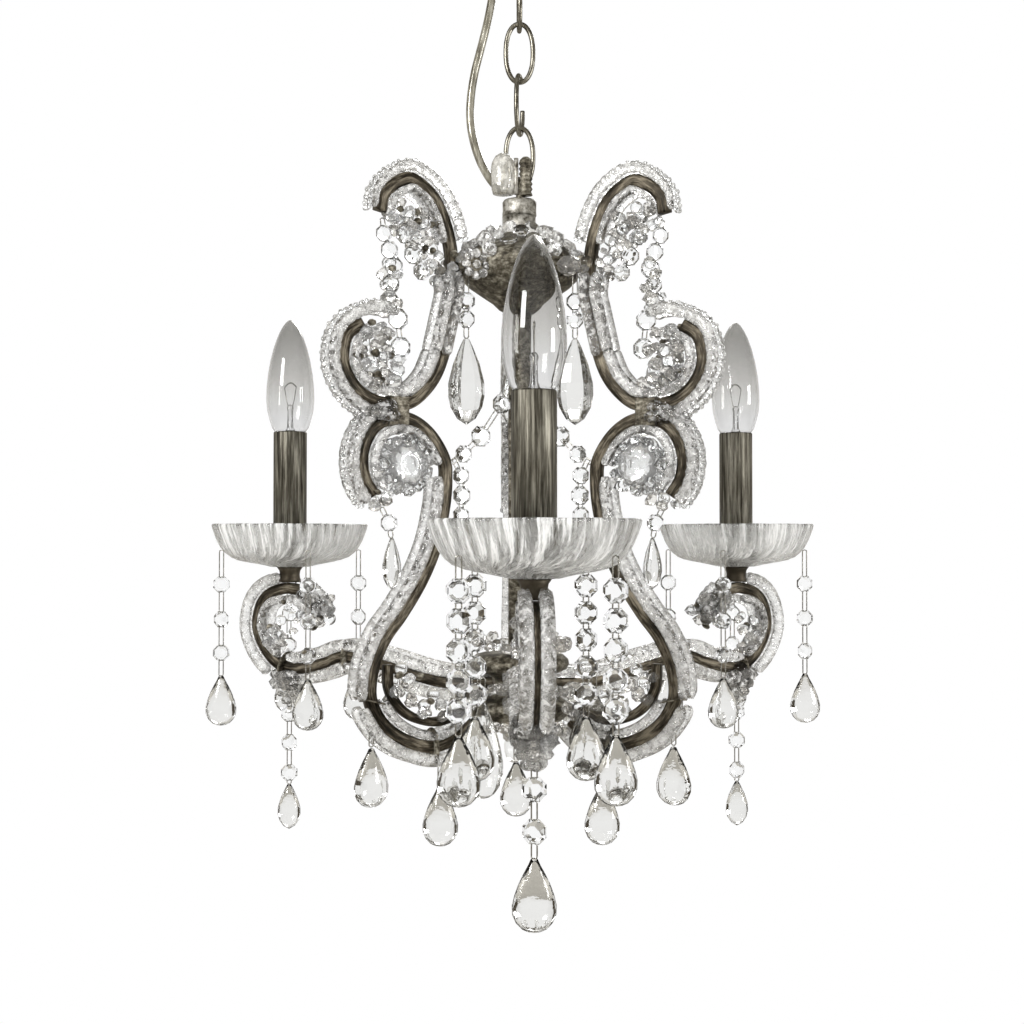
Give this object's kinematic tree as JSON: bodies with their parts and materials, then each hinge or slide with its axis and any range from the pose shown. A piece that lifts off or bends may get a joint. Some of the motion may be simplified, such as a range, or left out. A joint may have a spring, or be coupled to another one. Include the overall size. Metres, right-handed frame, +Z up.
{
  "type": "chandelier",
  "caption": "Small hanging crystal chandelier: scrolled metal straps under glass covers, candle arms with glass dishes, bead strands and drops, on a chain.",
  "frame": {"origin": "centre of the ceiling plate's top face, which lies against the ceiling", "axes": "+Z up, -Y towards the viewer of the front candle, +X to the viewer's right"},
  "size_m": [0.4434, 0.3962, 0.629],
  "materials": {
    "aged_nickel": "aged dark nickel with worn edges",
    "silver_metal": "warm silver wire",
    "sleeve_metal": "brushed grey-brown tube",
    "crystal_glass": "clear pressed glass",
    "bulb_glass": "clear blown glass",
    "cord_plastic": "clear silvery lamp cord",
    "socket_plastic": "candelabra lamp holder"
  },
  "bodies": {
    "ceiling": {"ceiling_plate": "silver_metal", "canopy": "aged_nickel", "canopy_loop": "silver_metal"},
    "chain_link_1": {"chain_link_1": "silver_metal"},
    "chain_link_2": {"chain_link_2": "silver_metal"},
    "chain_link_3": {"chain_link_3": "silver_metal"},
    "chain_link_4": {"chain_link_4": "silver_metal"},
    "fixture": {"fixture_loop": "aged_nickel", "cord": "cord_plastic", "bell": "aged_nickel", "stem": "aged_nickel", "hub": "aged_nickel", "scroll_frame_1": "aged_nickel", "ear_glass_1": "crystal_glass", "side_glass_1": "crystal_glass", "scroll_frame_2": "aged_nickel", "ear_glass_2": "crystal_glass", "side_glass_2": "crystal_glass", "scroll_frame_3": "aged_nickel", "ear_glass_3": "crystal_glass", "side_glass_3": "crystal_glass", "arm_1": "aged_nickel", "cup_1": "aged_nickel", "candle_dish_1": "crystal_glass", "candle_sleeve_1": "sleeve_metal", "socket_1": "socket_plastic", "arm_2": "aged_nickel", "cup_2": "aged_nickel", "candle_dish_2": "crystal_glass", "candle_sleeve_2": "sleeve_metal", "socket_2": "socket_plastic", "arm_3": "aged_nickel", "cup_3": "aged_nickel", "candle_dish_3": "crystal_glass", "candle_sleeve_3": "sleeve_metal", "socket_3": "socket_plastic"},
    "frame_drop_1": {"frame_drop_1": "crystal_glass"},
    "crown_drop_1": {"crown_drop_1": "crystal_glass"},
    "frame_drop_2": {"frame_drop_2": "crystal_glass"},
    "crown_drop_2": {"crown_drop_2": "crystal_glass"},
    "frame_drop_3": {"frame_drop_3": "crystal_glass"},
    "crown_drop_3": {"crown_drop_3": "crystal_glass"},
    "bulb_1": {"bulb_1": "bulb_glass"},
    "dish_strand_1_1": {"dish_strand_1_1": "crystal_glass"},
    "dish_strand_1_2": {"dish_strand_1_2": "crystal_glass"},
    "dish_strand_1_3": {"dish_strand_1_3": "crystal_glass"},
    "dish_strand_1_4": {"dish_strand_1_4": "crystal_glass"},
    "arm_drop_1": {"arm_drop_1": "crystal_glass"},
    "bulb_2": {"bulb_2": "bulb_glass"},
    "dish_strand_2_1": {"dish_strand_2_1": "crystal_glass"},
    "dish_strand_2_2": {"dish_strand_2_2": "crystal_glass"},
    "dish_strand_2_3": {"dish_strand_2_3": "crystal_glass"},
    "dish_strand_2_4": {"dish_strand_2_4": "crystal_glass"},
    "arm_drop_2": {"arm_drop_2": "crystal_glass"},
    "bulb_3": {"bulb_3": "bulb_glass"},
    "dish_strand_3_1": {"dish_strand_3_1": "crystal_glass"},
    "dish_strand_3_2": {"dish_strand_3_2": "crystal_glass"},
    "dish_strand_3_3": {"dish_strand_3_3": "crystal_glass"},
    "dish_strand_3_4": {"dish_strand_3_4": "crystal_glass"},
    "arm_drop_3": {"arm_drop_3": "crystal_glass"}
  },
  "joints": [
    {"name": "link_1_swing", "type": "hinge", "parent": "ceiling", "child": "chain_link_1", "pos_m": [0, 0, -0.0403], "axis": [1, 0, 0], "range_deg": [-8, 8]},
    {"name": "link_2_swing", "type": "hinge", "parent": "chain_link_1", "child": "chain_link_2", "pos_m": [0, 0, -0.0751], "axis": [0, 1, 0], "range_deg": [-8, 8]},
    {"name": "link_3_swing", "type": "hinge", "parent": "chain_link_2", "child": "chain_link_3", "pos_m": [0, 0, -0.1101], "axis": [1, 0, 0], "range_deg": [-8, 8]},
    {"name": "link_4_swing", "type": "hinge", "parent": "chain_link_3", "child": "chain_link_4", "pos_m": [0, 0, -0.1451], "axis": [0, 1, 0], "range_deg": [-8, 8]},
    {"name": "fixture_swing", "type": "hinge", "parent": "chain_link_4", "child": "fixture", "pos_m": [0, 0, -0.1801], "axis": [1, 0, 0], "range_deg": [-8, 8], "deforming": ["cord"]},
    {"name": "frame_drop_1_swing", "type": "hinge", "parent": "fixture", "child": "frame_drop_1", "pos_m": [0.05196, -0.03, -0.562], "axis": [-0.5, -0.866, 0], "range_deg": [-8, 8]},
    {"name": "crown_drop_1_swing", "type": "hinge", "parent": "fixture", "child": "crown_drop_1", "pos_m": [0.03551, -0.0205, -0.243], "axis": [-0.5, -0.866, 0], "range_deg": [-5, 1]},
    {"name": "frame_drop_2_swing", "type": "hinge", "parent": "fixture", "child": "frame_drop_2", "pos_m": [0, 0.06, -0.562], "axis": [1, 0, 0], "range_deg": [-8, 8]},
    {"name": "crown_drop_2_swing", "type": "hinge", "parent": "fixture", "child": "crown_drop_2", "pos_m": [0, 0.041, -0.243], "axis": [1, 0, 0], "range_deg": [-5, 1]},
    {"name": "frame_drop_3_swing", "type": "hinge", "parent": "fixture", "child": "frame_drop_3", "pos_m": [-0.05196, -0.03, -0.562], "axis": [-0.5, 0.866, 0], "range_deg": [-8, 8]},
    {"name": "crown_drop_3_swing", "type": "hinge", "parent": "fixture", "child": "crown_drop_3", "pos_m": [-0.03551, -0.0205, -0.243], "axis": [-0.5, 0.866, 0], "range_deg": [-5, 1]},
    {"name": "bulb_1_out", "type": "slide", "parent": "fixture", "child": "bulb_1", "axis": [0, 0, 1], "range_m": [0, 0.03]},
    {"name": "dish_strand_1_1_swing", "type": "hinge", "parent": "fixture", "child": "dish_strand_1_1", "pos_m": [0.0394, -0.22078, -0.429], "axis": [-0.6157, -0.788, 0], "range_deg": [-8, 6]},
    {"name": "dish_strand_1_2_swing", "type": "hinge", "parent": "fixture", "child": "dish_strand_1_2", "pos_m": [0.03078, -0.1506, -0.429], "axis": [0.788, -0.6157, 0], "range_deg": [-8, 6]},
    {"name": "dish_strand_1_3_swing", "type": "hinge", "parent": "fixture", "child": "dish_strand_1_3", "pos_m": [-0.03078, -0.1506, -0.429], "axis": [0.788, 0.6157, 0], "range_deg": [-8, 6]},
    {"name": "dish_strand_1_4_swing", "type": "hinge", "parent": "fixture", "child": "dish_strand_1_4", "pos_m": [-0.0394, -0.22078, -0.429], "axis": [-0.6157, 0.788, 0], "range_deg": [-8, 6]},
    {"name": "arm_drop_1_swing", "type": "hinge", "parent": "fixture", "child": "arm_drop_1", "pos_m": [0, -0.19, -0.525], "axis": [-1, 0, 0], "range_deg": [-8, 8]},
    {"name": "bulb_2_out", "type": "slide", "parent": "fixture", "child": "bulb_2", "axis": [0, 0, 1], "range_m": [0, 0.03]},
    {"name": "dish_strand_2_1_swing", "type": "hinge", "parent": "fixture", "child": "dish_strand_2_1", "pos_m": [0.1715, 0.14451, -0.429], "axis": [0.9903, -0.1392, 0], "range_deg": [-8, 6]},
    {"name": "dish_strand_2_2_swing", "type": "hinge", "parent": "fixture", "child": "dish_strand_2_2", "pos_m": [0.11503, 0.10196, -0.429], "axis": [0.1392, 0.9903, 0], "range_deg": [-8, 6]},
    {"name": "dish_strand_2_3_swing", "type": "hinge", "parent": "fixture", "child": "dish_strand_2_3", "pos_m": [0.14581, 0.04864, -0.429], "axis": [-0.9272, 0.3746, 0], "range_deg": [-8, 6]},
    {"name": "dish_strand_2_4_swing", "type": "hinge", "parent": "fixture", "child": "dish_strand_2_4", "pos_m": [0.2109, 0.07627, -0.429], "axis": [-0.3746, -0.9272, 0], "range_deg": [-8, 6]},
    {"name": "arm_drop_2_swing", "type": "hinge", "parent": "fixture", "child": "arm_drop_2", "pos_m": [0.16454, 0.095, -0.525], "axis": [0.5, -0.866, 0], "range_deg": [-8, 8]},
    {"name": "bulb_3_out", "type": "slide", "parent": "fixture", "child": "bulb_3", "axis": [0, 0, 1], "range_m": [0, 0.03]},
    {"name": "dish_strand_3_1_swing", "type": "hinge", "parent": "fixture", "child": "dish_strand_3_1", "pos_m": [-0.2109, 0.07627, -0.429], "axis": [-0.3746, 0.9272, 0], "range_deg": [-8, 6]},
    {"name": "dish_strand_3_2_swing", "type": "hinge", "parent": "fixture", "child": "dish_strand_3_2", "pos_m": [-0.14581, 0.04864, -0.429], "axis": [-0.9272, -0.3746, 0], "range_deg": [-8, 6]},
    {"name": "dish_strand_3_3_swing", "type": "hinge", "parent": "fixture", "child": "dish_strand_3_3", "pos_m": [-0.11503, 0.10196, -0.429], "axis": [0.1392, -0.9903, 0], "range_deg": [-8, 6]},
    {"name": "dish_strand_3_4_swing", "type": "hinge", "parent": "fixture", "child": "dish_strand_3_4", "pos_m": [-0.1715, 0.14451, -0.429], "axis": [0.9903, 0.1392, 0], "range_deg": [-8, 6]},
    {"name": "arm_drop_3_swing", "type": "hinge", "parent": "fixture", "child": "arm_drop_3", "pos_m": [-0.16454, 0.095, -0.525], "axis": [0.5, 0.866, 0], "range_deg": [-8, 8]}
  ]
}
